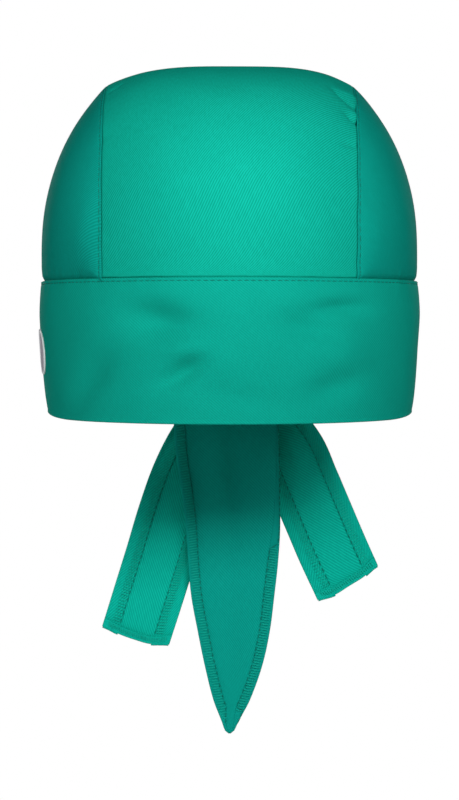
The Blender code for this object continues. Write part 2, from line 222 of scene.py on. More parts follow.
def smooth(value):
    value = min(max(value, 0.0), 1.0)
    return value * value * (3 - 2 * value)


def mix(start, end, share):
    return start + (end - start) * share


def crowd(share, pull):
    # draws the rows of a grid towards both of its ends
    return mix(share, 0.5 - 0.5 * math.cos(math.pi * share), pull)


def edgeRoll(distance, radius):
    # how far cloth has turned inwards at a distance from its folded edge
    reach = 1 - max(distance, 0) / radius
    return radius * (1 - math.sqrt(1 - reach * reach)) if reach > 0 else 0.0


def depthAt(back):
    return head["backDepth"] if back else head["frontDepth"]


def headFace(turn, height, inset=0.0):
    depth = depthAt(abs(turn) > math.pi / 2)
    wide = head["halfWidth"]
    girth = readTable(head["girth"], height / head["bandHeight"])[0]
    outward = Vector((math.sin(turn) / wide, -math.cos(turn) / depth, 0)).normalized()
    face = Vector((wide * girth * math.sin(turn), -depth * girth * math.cos(turn), height))
    return face - outward * inset


def headTurn(point):
    return math.atan2(point.x / head["halfWidth"], -point.y / depthAt(point.y > 0))


def inward(point):
    depth = depthAt(point.y > 0)
    rise = max(point.z - head["bandHeight"], 0.0)
    return -Vector((point.x / head["halfWidth"] ** 2, point.y / depth ** 2,
                    rise / crown["rise"] ** 2)).normalized()


knotSideTurn = math.pi - math.asin((head["knotWidth"] / 2 + head["seamGap"]) / head["halfWidth"])


def wrapEdges(turn):
    # lower and upper edge of the band, and of the tie that carries it on
    share = smooth((abs(turn) - head["bandTurn"]) / (knotSideTurn - head["bandTurn"]))
    height = mix(head["bandHeight"], head["tieWidth"], smooth(share / 0.6))
    height = mix(height, head["knotHeight"] * 0.75, smooth((share - 0.55) / 0.45))
    middle = mix(head["bandHeight"] / 2, head["knotMiddle"], share)
    return middle - height / 2, middle + height / 2


def tucked(point):
    # behind the ear the crown slips inside the band and the tie
    turn = headTurn(point)
    behind = smooth((abs(turn) - head["tuckFrom"]) / (head["tuckTo"] - head["tuckFrom"]))
    above = point.z - wrapEdges(turn)[1]
    held = behind * (1 - smooth((above - head["tuckHold"]) / head["tuckFade"]))
    limit = headFace(turn, min(point.z, head["bandHeight"]), head["bandCloth"] + head["lap"])
    ratio = limit.xy.length / point.xy.length
    if ratio < 1:
        point.xy *= mix(1, ratio, held)
    return point


def ripple(point, size, depth):
    # soft unevenness of worn cloth, the same on every run
    return noise.noise(point / size) * depth


def clothSheet(name, cells, place, flatPlace, cloth, material, away):
    # a grid of cloth: place gives its points, flatPlace its place on the cut in mm
    bm = bmesh.new()
    bmesh.ops.create_grid(bm, x_segments=cells[0], y_segments=cells[1], size=0.5)
    layer = bm.loops.layers.uv.new("clothMap")
    flat = {}
    for vert in bm.verts:
        across, up = vert.co.x + 0.5, vert.co.y + 0.5
        flat[vert] = flatPlace(across, up)
        vert.co = place(across, up)
    for face in bm.faces:
        for loop in face.loops:
            loop[layer].uv = flat[loop.vert]
    bm.normal_update()
    middle = min(bm.faces, key=lambda f: (f.calc_center_median() - place(0.5, 0.5)).length)
    if middle.normal.dot(away(middle.calc_center_median())) < 0:
        bmesh.ops.reverse_faces(bm, faces=bm.faces)
    return clothObject(name, bm, cloth, material)


def clothObject(name, bm, cloth, material):
    mesh = toMesh(name, bm)
    mesh.shade_smooth()
    mesh.materials.append(material)
    piece = addObject(name, mesh)
    if cloth:
        wall = piece.modifiers.new("cloth thickness", "SOLIDIFY")
        wall.thickness = cloth
        wall.offset = -1
        wall.use_even_offset = False
    return piece


def outOf(point):
    return -inward(point)


def towardsNeck(point):
    return Vector((0, -1, 0))


def awayFromNeck(point):
    return Vector((0, 1, 0))


def creased(u, v, creases):
    # sum of soft creases, and of ridges, whose depth is negative: metres, tilt in degrees
    sunk = 0.0
    for atU, atV, length, width, tilt, depth in creases:
        du, dv, lean = u - atU, v - atV, math.radians(tilt)
        run = (du * math.cos(lean) + dv * math.sin(lean)) / length
        off = (dv * math.cos(lean) - du * math.sin(lean)) / width
        sunk += depth * math.exp(-run * run - off * off)
    return sunk


# Crown: a centre panel from forehead to nape and a panel over each ear
crown = {
    "rise": 0.0953,
    "halfWidth": 0.054,
    "sideBulge": 0.0113,
    "swellUp": 0.9,
    "hemHeight": 0.008,
    "cloth": 0.0007,
    "frontBlend": 0.12,         # share of the line that bends to meet the seam on the band
    "narrowFade": 0.006,        # details fade out where a side panel gets this narrow
    "centreCrowd": 0.62,        # how far the rows of the grids are drawn to the edges
    "alongCrowd": 0.25,
    "downCrowd": 0.6,
    "sideSpread": 850,          # mm on a side panel's cut for a metre of the line
    # from the band over the top to the nape: depth, rise, width, drop of the edge,
    # roundness across
    "line": ((-1.000, 0.000, 0.980, 0.430, 2.20), (-0.945, 0.425, 0.985, 0.385, 2.30),
             (-0.735, 0.775, 0.990, 0.300, 2.50), (-0.390, 0.950, 0.998, 0.195, 3.20),
             (0.040, 1.000, 0.990, 0.143, 3.40), (0.480, 0.940, 0.910, 0.150, 3.20),
             (0.830, 0.690, 0.780, 0.185, 2.50), (1.000, 0.280, 0.640, 0.170, 2.20),
             (1.010, -0.260, 0.530, 0.130, 2.10), (0.960, -1.000, 0.468, 0.090, 2.00)),
    "seamRoll": 0.00014,
    "allowance": 0.0016,        # cloth that turns down behind the top of the band
    "turnDown": 0.0022,
    "turnGap": 0.0002,          # between the band and the cloth turned down behind it
    "tuckIn": 0.0005,           # the crown turns in towards the band over this height
    "tuckHeight": 0.0065,
    "stitchFrom": 0.0015,       # line of stitches from the seam
    "stitchSink": 0.00025,
    "pucker": 0.00035,          # small gathers that the seam draws up
    "puckerReach": 0.005,
    "puckerEvery": 0.006,
    "puckerSlow": 0.03,         # a slower unevenness on top of them
    "wave": 0.0006,             # slow unevenness of the panels
    "waveSize": 0.035,
    "waveFade": 0.012,          # it fades out this near to a seam
    # pulls in the cloth beside the right seam: across from the middle in mm, share of
    # the line, half length and width in mm, tilt in degrees, depth in mm
    "pulls": ((48.2, 0.290, 5.4, 1.6, -47, 2.4), (51.5, 0.307, 4.6, 2.3, -47, -1.4),
              (51.5, 0.245, 3.2, 1.4, -32, 1.8), (52.5, 0.260, 3.0, 1.6, -32, -0.7),
              (50.0, 0.187, 2.8, 1.4, 30, 1.3), (-49.0, 0.330, 5.0, 2.0, 40, 0.6)),
}


def crownSeam(turn):
    descent = smooth((abs(turn) - head["tuckTo"]) / (head["hemTurn"] - head["tuckTo"]))
    top = head["bandHeight"]
    height = mix(top + head["seamGap"] / 2, crown["hemHeight"], descent)
    behind = smooth((abs(turn) - head["tuckFrom"]) / (head["tuckTo"] - head["tuckFrom"]))
    return headFace(turn, min(height, top), behind * (head["bandCloth"] + head["lap"])) \
        + Vector((0, 0, max(height - top, 0)))


def centreLine(share):
    depth, rise, width, drop, power = readTable(crown["line"], share)
    y = depth * depthAt(depth > 0)
    below = head["bandHeight"] - crown["hemHeight"]
    z = head["bandHeight"] + head["seamGap"] / 2 + rise * (crown["rise"] if rise > 0 else below)
    return y, z, width * crown["halfWidth"], drop * crown["halfWidth"], power


def centreFace(across, share):
    y, z, width, drop, power = centreLine(share)
    back = centreLine(min(share + 0.01, 1.0))
    front = centreLine(max(share - 0.01, 0.0))
    run = Vector((0, back[0] - front[0], back[1] - front[1])).normalized()
    inside = Vector((0, run.z, -run.y))
    point = Vector((across * width, y, z)) + inside * drop * abs(across) ** power
    seamTurn = math.asin(across * width / head["halfWidth"])
    onSeam = headFace(seamTurn, head["bandHeight"]) + Vector((0, 0, head["seamGap"] / 2))
    return tucked(point.lerp(onSeam, 1 - smooth(share / crown["frontBlend"])))


linePoints = [Vector(centreLine(step / 100)[:2]) for step in range(101)]
lineRun = [0.0]
for start, end in zip(linePoints, linePoints[1:]):
    lineRun.append(lineRun[-1] + (end - start).length)
frontCorner = math.asin(crown["line"][0][2] * crown["halfWidth"] / head["halfWidth"])
backCorner = math.pi - math.asin(crown["line"][-1][2] * crown["halfWidth"] / head["halfWidth"])


def runAt(share):
    place = min(max(share, 0), 1) * 100
    first = min(int(place), 99)
    return mix(lineRun[first], lineRun[first + 1], place - first)


def shareAt(fraction):
    # share of the centre line's table at a fraction of its length
    target = fraction * lineRun[-1]
    step = next(i for i in range(1, 101) if lineRun[i] >= target - 1e-9)
    return (step - 1 + (target - lineRun[step - 1]) / (lineRun[step] - lineRun[step - 1])) / 100


def seamPinch(distance, along, phase):
    # gathers beside a seam, fading away from it
    near = math.exp(-(distance / crown["puckerReach"]) ** 2)
    beat = noise.noise(Vector((along / crown["puckerEvery"], phase, 0.5)))
    slow = noise.noise(Vector((along / crown["puckerSlow"], phase + 7, 1.5)))
    return crown["pucker"] * near * (beat + 0.6 * slow)


def stitchLine(distance, fromEdge, sink):
    # the groove that a line of stitches draws into the cloth
    halfWidth = 0.5 * mm
    return sink * math.exp(-((distance - fromEdge) / halfWidth) ** 2)


crownPulls = [(u * mm, runAt(share), length * mm, width * mm, tilt, depth * mm)
              for u, share, length, width, tilt, depth in crown["pulls"]]


def centreCloth(side, share):
    point = centreFace(side, share)
    width = centreLine(share)[2]
    fromSeam = (1 - abs(side)) * width
    fromBand = runAt(share)
    sunk = edgeRoll(fromSeam, crown["seamRoll"]) + edgeRoll(fromBand, crown["seamRoll"])
    sunk += crown["tuckIn"] * (1 - smooth(fromBand / crown["tuckHeight"]))
    sunk += creased(side * width, fromBand, crownPulls)
    turned = 1 - smooth(fromBand / crown["turnDown"])
    sunk += turned * (band["cloth"] + crown["turnGap"])
    sunk -= ripple(point, crown["waveSize"], crown["wave"]) \
        * smooth(fromSeam / crown["waveFade"])
    sunk -= seamPinch(fromSeam, fromBand, math.copysign(2.0, side))
    sunk -= seamPinch(fromBand, side * width, 5.0)
    return point + inward(point) * sunk - Vector((0, 0, turned * crown["allowance"]))


def sideFace(side, share, down):
    upper = centreFace(side, share)
    lower = crownSeam(side * mix(frontCorner, backCorner, share))
    chord = lower - upper
    widest = math.hypot(head["halfWidth"] - crown["halfWidth"], crown["rise"])
    swell = crown["sideBulge"] * min(chord.length / widest, 1.2) \
        * math.sin(math.pi * down ** crown["swellUp"])
    point = upper + chord * down
    point -= inward(point) * swell
    return tucked(point), chord.length


def sideCloth(side, share, down):
    point, height = sideFace(side, share, max(down, 0.002))
    fromSeam, fromBand = down * height, (1 - down) * height
    sunk = edgeRoll(fromSeam, crown["seamRoll"]) + edgeRoll(fromBand, crown["seamRoll"])
    sunk += crown["tuckIn"] * (1 - smooth(fromBand / crown["tuckHeight"]))
    turn = mix(frontCorner, backCorner, share)
    turned = 1 - smooth(fromBand / crown["turnDown"])
    turned *= 1 - smooth((turn - head["tuckFrom"]) / (head["tuckTo"] - head["tuckFrom"]))
    sunk += turned * (band["cloth"] + crown["turnGap"])
    sunk += stitchLine(fromSeam, crown["stitchFrom"], crown["stitchSink"])
    sunk -= ripple(point, crown["waveSize"], crown["wave"]) \
        * smooth(fromSeam / crown["waveFade"])
    sunk -= seamPinch(fromSeam, runAt(share), side * 2.0)
    sunk -= seamPinch(fromBand, runAt(share), side * 9.0)
    return point + inward(point) * sunk * smooth(height / crown["narrowFade"]) \
        - Vector((0, 0, turned * crown["allowance"]))


def asPiece(piece, slot, *nodes):
    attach(piece, "root")
    if nodes:
        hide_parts(*nodes)


def makeCrown():
    length, pull = lineRun[-1], crown["centreCrowd"]
    centre = clothSheet(
        "crown_centre", (64, 260),
        lambda a, u: centreCloth(2 * crowd(a, pull) - 1, shareAt(u)),
        lambda a, u: ((crowd(a, pull) - 0.5) * 2000 * crown["halfWidth"], u * length * 1000),
        crown["cloth"], crownTwill, outOf)
    asPiece(centre, "crown_twill", "crown_centre_panel")
    for side, name, node in ((-1, "crown_side_left", "crown_side_panel_left"),
                             (1, "crown_side_right", "crown_side_panel_right")):
        def spot(along, across):
            return shareAt(crowd(along, crown["alongCrowd"])), crowd(across, crown["downCrowd"])

        def flat(along, across):
            share, down = spot(along, across)
            return (runAt(share) * crown["sideSpread"] * side,
                    -down * sideFace(side, share, 0.5)[1] * 1000)
        panel = clothSheet(name, (200, 56), lambda a, u: sideCloth(side, *spot(a, u)),
                           flat, crown["cloth"], shadedSideTwill, outOf)
        asPiece(panel, "crown_twill", node)
    print("crown sewn")


# Standing band round the front, two layers, topstitched to the crown
band = {
    "dip": 0.0018,
    "dipSpread": 1.8,
    "cloth": 0.0016,
    "edgeRoll": 0.0004,
    "stitchBelow": 0.0014,      # line of stitches under the top edge
    "stitchSink": 0.0003,
    "rimPress": 0.00012,        # depth of the pressed line above the rim
    "pressLine": 0.0017,        # its height
    "wave": 0.0005,
    "waveSize": 0.03,
    "crowd": 0.72,
    # creases: turn in degrees, share of the height, half length and width in mm,
    # tilt in degrees, depth in mm
    "creases": ((-20.5, 0.690, 18.0, 7.6, -6, 6.2), (-10.5, 0.500, 20.0, 6.0, -12, -2.4),
                (-13.0, 0.345, 14.0, 4.6, 26, 4.4), (33.0, 0.785, 16.0, 3.6, 2, 3.4),
                (23.4, 0.640, 17.0, 6.0, -10, 4.2), (32.0, 0.490, 17.0, 7.5, -15, -2.6),
                (31.0, 0.220, 15.0, 6.0, 8, 3.0), (-44.0, 0.300, 17.0, 8.0, 30, 2.8),
                (4.0, 0.150, 24.0, 6.0, -8, 1.8)),
    "gatherFrom": 0.35,         # share of the way to the knot
    "gatherLift": 0.3,          # share of the knot's depth
    "pleats": 3,
    "pleatDepth": 0.0016,
    "sag": 0.0012,              # unevenness of the ties before they are gathered
}
bandCreases = [(math.radians(turn) * head["meanRadius"], up * head["bandHeight"],
                length * mm, width * mm, tilt, depth * mm)
               for turn, up, length, width, tilt, depth in band["creases"]]


def bandEdges(turn):
    if abs(turn) <= head["bandTurn"]:
        return -band["dip"] * smooth(band["dipSpread"] * math.cos(turn)), head["bandHeight"]
    return wrapEdges(turn)


def bandFace(turn, up):
    # outer face of the band and of the ties that carry it on round to the knot
    low, high = bandEdges(turn)
    height = mix(low, high, up)
    point = headFace(turn, height)
    lift = 0.0
    along = (abs(turn) - head["bandTurn"]) / (knotSideTurn - head["bandTurn"])
    if along > 0:
        gather = smooth((along - band["gatherFrom"]) / (1 - band["gatherFrom"]))
        uneven = 0.75 + 0.7 * noise.noise(Vector((up * 3, along * 1.5, math.copysign(4, turn))))
        pleat = band["pleatDepth"] * math.sin(band["pleats"] * 2 * math.pi * up) ** 2 * uneven
        lift = gather * (band["gatherLift"] * head["knotDepth"] + pleat)
        lift += smooth(along * 2) * (1 - gather) * band["sag"] \
            * noise.noise(Vector((up * 2.5, along * 2 * up, math.copysign(8, turn))))
    lift -= creased(turn * head["meanRadius"], height, bandCreases)
    lift += ripple(point, band["waveSize"], band["wave"])
    fromTop, fromRim = high - height, height - low
    lift += seamPinch(fromTop, turn * head["meanRadius"], 12.0)
    lift -= edgeRoll(fromTop, band["edgeRoll"]) + edgeRoll(fromRim, band["edgeRoll"])
    lift -= stitchLine(fromTop, band["stitchBelow"], band["stitchSink"])
    lift -= stitchLine(fromRim, band["pressLine"], band["rimPress"])
    return point - inward(Vector((point.x, point.y, 0))) * lift


def makeBand():
    reach, pull = knotSideTurn, band["crowd"]
    piece = clothSheet(
        "headband_and_ties", (400, 50),
        lambda a, u: bandFace(mix(-reach, reach, a), crowd(u, pull)),
        lambda a, u: (mix(-reach, reach, a) * 97, crowd(u, pull) * 58),
        band["cloth"], bandTwill, outOf)
    asPiece(piece, "band_twill", "headband", "tie_wrap_left", "tie_wrap_right")
    print("band sewn on")


makeCrown()
makeBand()


# Tail and tie ends: single cloth whose edges are folded forwards and sewn down
strip = {
    "layer": 0.0009,            # from one layer of a fold to the next
    "cloth": 0.0007,
    "stops": (0, 8, 12, 40, 44, 52),        # columns: flap, bend, middle, bend, flap
    "endStops": (0, 84, 88, 96),            # rows: length, bend, end flap
    "onFlap": 0.00005,                      # threads lie this far off the cloth
    "onBack": 0.00008,
    "flapLine": 0.0003,                     # from a flap's raw edge to its line of stitches
    "backLine": 0.0012,                     # the same on the other face
}


def between(index, stops, places):
    last = next(i for i in range(1, len(stops)) if index <= stops[i] or i == len(stops) - 1)
    return mix(places[last - 1], places[last],
               (index - stops[last - 1]) / (stops[last] - stops[last - 1]))


def foldOver(distance, size, before, after):
    # where a point of a cut edge comes to lie, on which layer, and how far the bend bulges
    layer = strip["layer"]
    bend = math.pi * layer / 2
    if 0 <= distance <= size:
        return distance, 0.0, 0.0
    over = -distance if distance < 0 else distance - size
    angle = min(over / min(bend, before if distance < 0 else after), 1) * math.pi
    bulge, inside = math.sin(angle) * layer / 2, max(over - bend, 0)
    place = inside if distance < 0 else size - inside
    return place, (1 - math.cos(angle)) / 2, -bulge if distance < 0 else bulge


def column(across, left, size, right):
    bend = math.pi * strip["layer"] / 2
    return between(across * strip["stops"][-1], strip["stops"],
                   (-left, -min(bend, left * 0.6), 0, size, size + min(bend, right * 0.6),
                    size + right))


tail = {
    "width": 0.0505,
    "length": 0.1705,
    "hem": 0.0065,
    "narrowHem": 0.0022,        # the right hem, near the top
    "tipRound": 0.0026,
    "wave": 0.0020,
    "waveSize": 0.04,
    "ridge": 0.0012,            # soft ridge down the middle
    "ridgeWidth": 0.006,
    # width, shift, lean, from the top to the tip
    "line": ((1.010, -0.034, 0.000), (1.000, -0.034, 0.000), (0.985, -0.015, 0.004),
             (0.940, 0.012, 0.010), (0.907, 0.034, 0.016), (0.863, 0.035, 0.020),
             (0.795, 0.032, 0.022), (0.690, 0.042, 0.022), (0.548, 0.040, 0.020),
             (0.345, 0.022, 0.018), (0.070, 0.000, 0.016)),
}
tailTop = crown["hemHeight"] - head["seamGap"]
tailBack = headFace(math.pi, tailTop, head["bandCloth"] + head["lap"]).y


def tailHems(along):
    # width of the tail at a share of its length, and of both its hems
    width = readTable(tail["line"], along)[0]
    fromTip = (1 - along) * tail["length"] / tail["tipRound"]
    if fromTip < 1:
        width *= math.sqrt(max(1 - (1 - fromTip) ** 2, 0.01))
    width *= tail["width"]
    left = min(tail["hem"], 0.44 * width)
    right = mix(tail["narrowHem"], tail["hem"], smooth((along - 0.2) / 0.35))
    right = min(right, 0.44 * width)
    return width, left, right


def tailCloth(distance, along):
    width, left, right = tailHems(along)
    shift, lean = readTable(tail["line"], along)[1:]
    place, level, bulge = foldOver(distance, width, left, right)
    x = shift * tail["width"] + place - width / 2 + bulge
    rounding = (1 - smooth(along / 0.35)) \
        * tailBack * (1 - math.sqrt(1 - (x / head["halfWidth"]) ** 2))
    y = tailBack - rounding - lean * tail["length"] - level * strip["layer"]
    z = tailTop - along * tail["length"]
    y += ripple(Vector((x, 0.5, z)), tail["waveSize"], tail["wave"]) * smooth(along / 0.2)
    across = (place - width * 0.42) / tail["ridgeWidth"]
    y -= tail["ridge"] * math.exp(-across ** 2) * smooth(along / 0.3) \
        * (1 - smooth((along - 0.75) / 0.2))
    return Vector((x, y, z))


def makeTail():
    def cloth(across, along):
        width, left, right = tailHems(along)
        return tailCloth(column(across, left, width, right), along)
    piece = clothSheet("tail_cloth", (strip["stops"][-1], 120), cloth,
                       lambda a, u: ((a - 0.5) * 63, -u * 170),
                       strip["cloth"], shadedTailTwill, awayFromNeck)
    asPiece(piece, "tie_twill", "tail")
    print("tail hung")


makeTail()

ties = {
    "width": 0.034,
    "pleats": 3,
    "pleatDepth": 0.0016,
    "tuckUp": 0.007,            # runs this far up into the knot
    "endHem": 0.0066,
    "wave": 0.0022,
    "waveSize": 0.03,
    "gathered": (0.62, 0.45),   # share of the width where it enters the knot, and inside
    # line: out, down, width and back from the knot to the end
    # end: how much longer the strip is at even steps across
    "left": {"length": 0.1260, "start": -0.18, "hems": (0.0096, 0.0098), "seed": 3.0,
             "line": ((0.000, 0.000, 0.62, 0.36), (-0.060, -0.152, 0.94, 0.30),
                      (-0.128, -0.300, 1.00, 0.24), (-0.184, -0.456, 1.00, 0.20),
                      (-0.232, -0.616, 1.00, 0.22), (-0.282, -0.776, 1.00, 0.25),
                      (-0.333, -0.937, 0.99, 0.30)),
             "end": ((-0.0012,), (0.0006,), (0.0012,), (0.0008,), (-0.0030,))},
    "right": {"length": 0.1050, "start": 0.25, "hems": (0.0102, 0.0086), "seed": 11.0,
              "line": ((0.000, 0.000, 0.60, 0.72), (0.120, -0.115, 0.92, 0.64),
                       (0.220, -0.245, 1.00, 0.50), (0.288, -0.395, 1.00, 0.44),
                       (0.354, -0.550, 1.00, 0.42), (0.420, -0.705, 1.00, 0.42),
                       (0.490, -0.858, 0.99, 0.46)),
              "end": ((0.0030,), (0.0045,), (0.0032,), (0.0018,), (-0.0012,))},
}
napeGirth = readTable(head["girth"], head["knotMiddle"] / head["bandHeight"])[0]
knotFront = head["backDepth"] * napeGirth - head["bandCloth"] + head["lap"] / 2


def tieLine(tie, along):
    # the tie's middle line, carried straight on past both of its ends
    inside = min(max(along, 0.0), 1.0)
    row = readTable(tie["line"], inside)
    if along != inside:
        near = readTable(tie["line"], inside - math.copysign(0.05, along - inside))
        more = abs(along - inside) / 0.05
        row = [value + (value - before) * more for value, before in zip(row, near)]
        row[2] = mix(*ties["gathered"], min(more, 1)) if along < 0 else tie["line"][-1][2]
    return row


def tieCloth(tie, distance, run):
    width, length = ties["width"], tie["length"]
    place, layer, bulge = foldOver(distance, width, *tie["hems"])
    share = place / width
    whole = length + readTable(tie["end"], share)[0]
    down, level, drop = foldOver(run, length, 0.01, ties["endHem"])
    down = down + drop if down < 0.5 * length else down + (whole - length) + drop
    if level == 0:
        down = run * whole / length if run > 0 else run
    along = down / length
    out, fall, wide, back = tieLine(tie, along)
    ahead, behind = tieLine(tie, min(along + 0.05, 1.0)), tieLine(tie, min(along, 1.0) - 0.05)
    way = Vector((ahead[0] - behind[0], 0, ahead[1] - behind[1])).normalized()
    straight = 1 - smooth(along / 0.15)
    sideways = Vector((-way.z, 0, way.x)).lerp(Vector((1, 0, 0)), straight).normalized()
    pleat = ties["pleatDepth"] * math.sin(ties["pleats"] * 2 * math.pi * share) \
        * (1 - smooth(along / 0.5))
    layers = (1 - level) * layer + level * (3 - layer)
    y = back * head["knotDepth"] + pleat - layers * strip["layer"]
    uneven = ripple(Vector((place, tie["seed"], down)), ties["waveSize"], ties["wave"])
    y += uneven * smooth(along / 0.2)
    middle = Vector((tie["start"] * head["knotWidth"], knotFront,
                     head["knotMiddle"] - head["knotHeight"] / 2 - head["seamGap"]))
    middle += Vector((out * length, y, fall * length))
    return middle + sideways * ((share - 0.5) * wide * width + bulge)


def makeTieEnd(name, node, tie):
    length, hem = tie["length"], ties["endHem"]
    rows = strip["endStops"]
    bend = math.pi * strip["layer"] / 2

    def cloth(across, up):
        run = between((1 - up) * rows[-1], rows, (-ties["tuckUp"], length, length + bend,
                                                   length + hem))
        return tieCloth(tie, column(across, tie["hems"][0], ties["width"], tie["hems"][1]), run)
    piece = clothSheet(name, (strip["stops"][-1], rows[-1]), cloth,
                       lambda a, u: ((a - 0.5) * 50, u * length * 1000),
                       strip["cloth"], litTieTwill, awayFromNeck)
    asPiece(piece, "tie_twill", node)


makeTieEnd("tie_end_left_cloth", "tie_end_left", ties["left"])
makeTieEnd("tie_end_right_cloth", "tie_end_right", ties["right"])
print("ties hung")


# Knot: the gathered ties cross in a core, and one turn of the tie is wound over them
knot = {
    "coreWidth": 0.034,
    "coreHeight": 0.0185,
    "coreDepth": 0.0095,
    "coreBack": 0.0012,         # the core sits this far nearer to the neck
    "sway": 0.0012,
    "swayLength": 0.006,
    "squeeze": 0.28,            # how far the turn draws the core in
    "squeezeWidth": 0.006,
    "turnWidth": 0.0150,
    "turnThick": 0.0042,
    "turnInset": 0.0016,        # from the knot's outline to the middle of the turn
    "turnTilt": math.radians(16),
    "pleats": 5,
    "pleatShare": 0.16,
}


def tubeGrid(bm, cells, place, flatPlace, layer):
    # a closed roll: across runs round its section and up along it
    made = bmesh.ops.create_grid(bm, x_segments=cells[0], y_segments=cells[1], size=0.5)["verts"]
    flat = {}
    for vert in made:
        across, up = vert.co.x + 0.5, vert.co.y + 0.5
        flat[vert] = flatPlace(across, up)
        vert.co = place(across, up)
    for face in {f for vert in made for f in vert.link_faces}:
        for loop in face.loops:
            loop[layer].uv = flat[loop.vert]
    bmesh.ops.remove_doubles(bm, verts=made, dist=1e-6)


def makeKnot():
    bm = bmesh.new()
    layer = bm.loops.layers.uv.new("clothMap")
    middle = Vector((0, knotFront + head["knotDepth"] / 2, head["knotMiddle"]))

    def section(angle, width, thick):
        pleat = 1 - knot["pleatShare"] * math.sin(knot["pleats"] * angle) ** 2
        return width / 2 * math.copysign(abs(math.cos(angle)) ** 0.75, math.cos(angle)) * pleat, \
            thick / 2 * math.copysign(abs(math.sin(angle)) ** 0.75, math.sin(angle)) * pleat

    def core(across, up):
        # left to right through the knot, drawn in under the turn and closed at both ends
        x = (up - 0.5) * knot["coreWidth"]
        squeeze = 1 - knot["squeeze"] * math.exp(-(x / knot["squeezeWidth"]) ** 2)
        close = math.sqrt(max(1 - (2 * up - 1) ** 8, 0))
        tall, deep = section(across * 2 * math.pi, knot["coreHeight"] * squeeze,
                             knot["coreDepth"] * squeeze)
        sway = knot["sway"] * math.sin(x / knot["swayLength"])
        return middle + Vector((x, deep * close - knot["coreBack"], tall * close + sway))

    def turnOver(across, up):
        # once round the core, tilted, wider at the front than where it passes underneath
        angle = up * 2 * math.pi
        width = knot["turnWidth"] * (0.86 + 0.14 * math.sin(angle))
        wide, thick = section(across * 2 * math.pi, width, knot["turnThick"])
        away = Vector((0, math.sin(angle), math.cos(angle)))
        ring = Vector((0, math.sin(angle) * (head["knotDepth"] / 2 - knot["turnInset"]),
                       math.cos(angle) * (head["knotHeight"] / 2 - knot["turnInset"])))
        local = ring + away * thick + Vector((wide, 0, 0))
        tilt = knot["turnTilt"]
        local = Vector((local.x * math.cos(tilt) + local.z * math.sin(tilt), local.y,
                        local.z * math.cos(tilt) - local.x * math.sin(tilt)))
        return middle + local

    tubeGrid(bm, (60, 60), core, lambda a, u: (u * 34, a * 50), layer)
    tubeGrid(bm, (60, 84), turnOver, lambda a, u: (a * 34, u * 70), layer)
    bmesh.ops.recalc_face_normals(bm, faces=bm.faces)
    if bm.calc_volume(signed=True) < 0:
        bmesh.ops.reverse_faces(bm, faces=bm.faces)
    piece = clothObject("knot_turns", bm, 0, litTieTwill)
    asPiece(piece, "tie_twill", "knot")
    print("knot tied")


makeKnot()

# Blank round patch near the left temple, with a merrowed rim
label = {
    "across": 0.0200,
    "turn": math.radians(-78),
    "middle": 0.0270,
    "cloth": 0.0004,
    "lift": 0.00045,            # face of the patch, off the band
    "rim": 0.00045,             # radius of the threads round its edge
    "rimDrop": 0.0001,          # their middle lies this far under the face
    "rimStitch": 0.0007,        # from one thread to the next
    "rimRib": 0.18,
    "inside": 0.985,            # the patch ends under its rim
}


def labelFace(discU, discV, lift):
    # a place on the patch, from -1 to 1 both ways, laid on the band
    reach = label["across"] / 2 - label["rim"]
    arc = math.hypot(head["halfWidth"] * math.cos(label["turn"]),
                     head["frontDepth"] * math.sin(label["turn"]))
    turn = label["turn"] + discU * reach / arc
    low, high = bandEdges(turn)
    point = bandFace(turn, (label["middle"] + discV * reach - low) / (high - low))
    return point - inward(Vector((point.x, point.y, 0))) * lift


def makeLabel():
    def place(across, up):
        u, v = 2 * across - 1, 2 * up - 1
        discU, discV = u * math.sqrt(1 - v * v / 2), v * math.sqrt(1 - u * u / 2)
        return labelFace(discU * label["inside"], discV * label["inside"], label["lift"])
    piece = clothSheet("side_label_patch", (40, 40), place,
                       lambda a, u: (a * 23, u * 21), label["cloth"], labelCloth, outOf)
    asPiece(piece, "label_cloth", "side_label")
    bm = bmesh.new()
    layer = bm.loops.layers.uv.new("clothMap")
    around = round(math.pi * label["across"] / label["rimStitch"])

    def rim(across, up):
        turn, angle = up * 2 * math.pi, across * 2 * math.pi
        ribbed = label["rim"] * (1 + label["rimRib"] * math.cos(around * turn))
        out = 1 + math.cos(angle) * ribbed / (label["across"] / 2)
        return labelFace(math.cos(turn) * out, math.sin(turn) * out,
                         label["lift"] - label["rimDrop"] + math.sin(angle) * ribbed)
    tubeGrid(bm, (8, around * 4), rim, lambda a, u: (a, u), layer)
    bmesh.ops.recalc_face_normals(bm, faces=bm.faces)
    edge = clothObject("side_label_rim", bm, 0, rimThread)
    asPiece(edge, "label_cloth")
    print("label sewn on")


makeLabel()


# Stitches: short grains of thread laid along lines on the cloth
stitch = {
    "length": 0.0023,
    "gap": 0.0008,
    "from": 0.12,               # the thread shows from here, and over this share of a step
    "shown": 0.76,
    "thick": 0.00042,
    "lift": 0.00010,            # above the cloth, on the band and the crown
    "tickEvery": 0.0013,        # overlock: threads across a raw edge
    "tickFrom": 0.0002,
    "tickWidth": 0.0047,
    "tickThick": 0.00042,
    "tickLean": 0.6,            # of the step to the next thread
}


def makeGrain():
    bm = bmesh.new()
    bmesh.ops.create_uvsphere(bm, u_segments=6, v_segments=5, radius=0.5)
    # the operator gives its faces in another order on each run
    bm.faces.sort(key=lambda face: face.calc_center_median().dot(Vector((1, 10, 100))))
    return toMesh("stitch grain", bm)


stitchGrain = makeGrain()


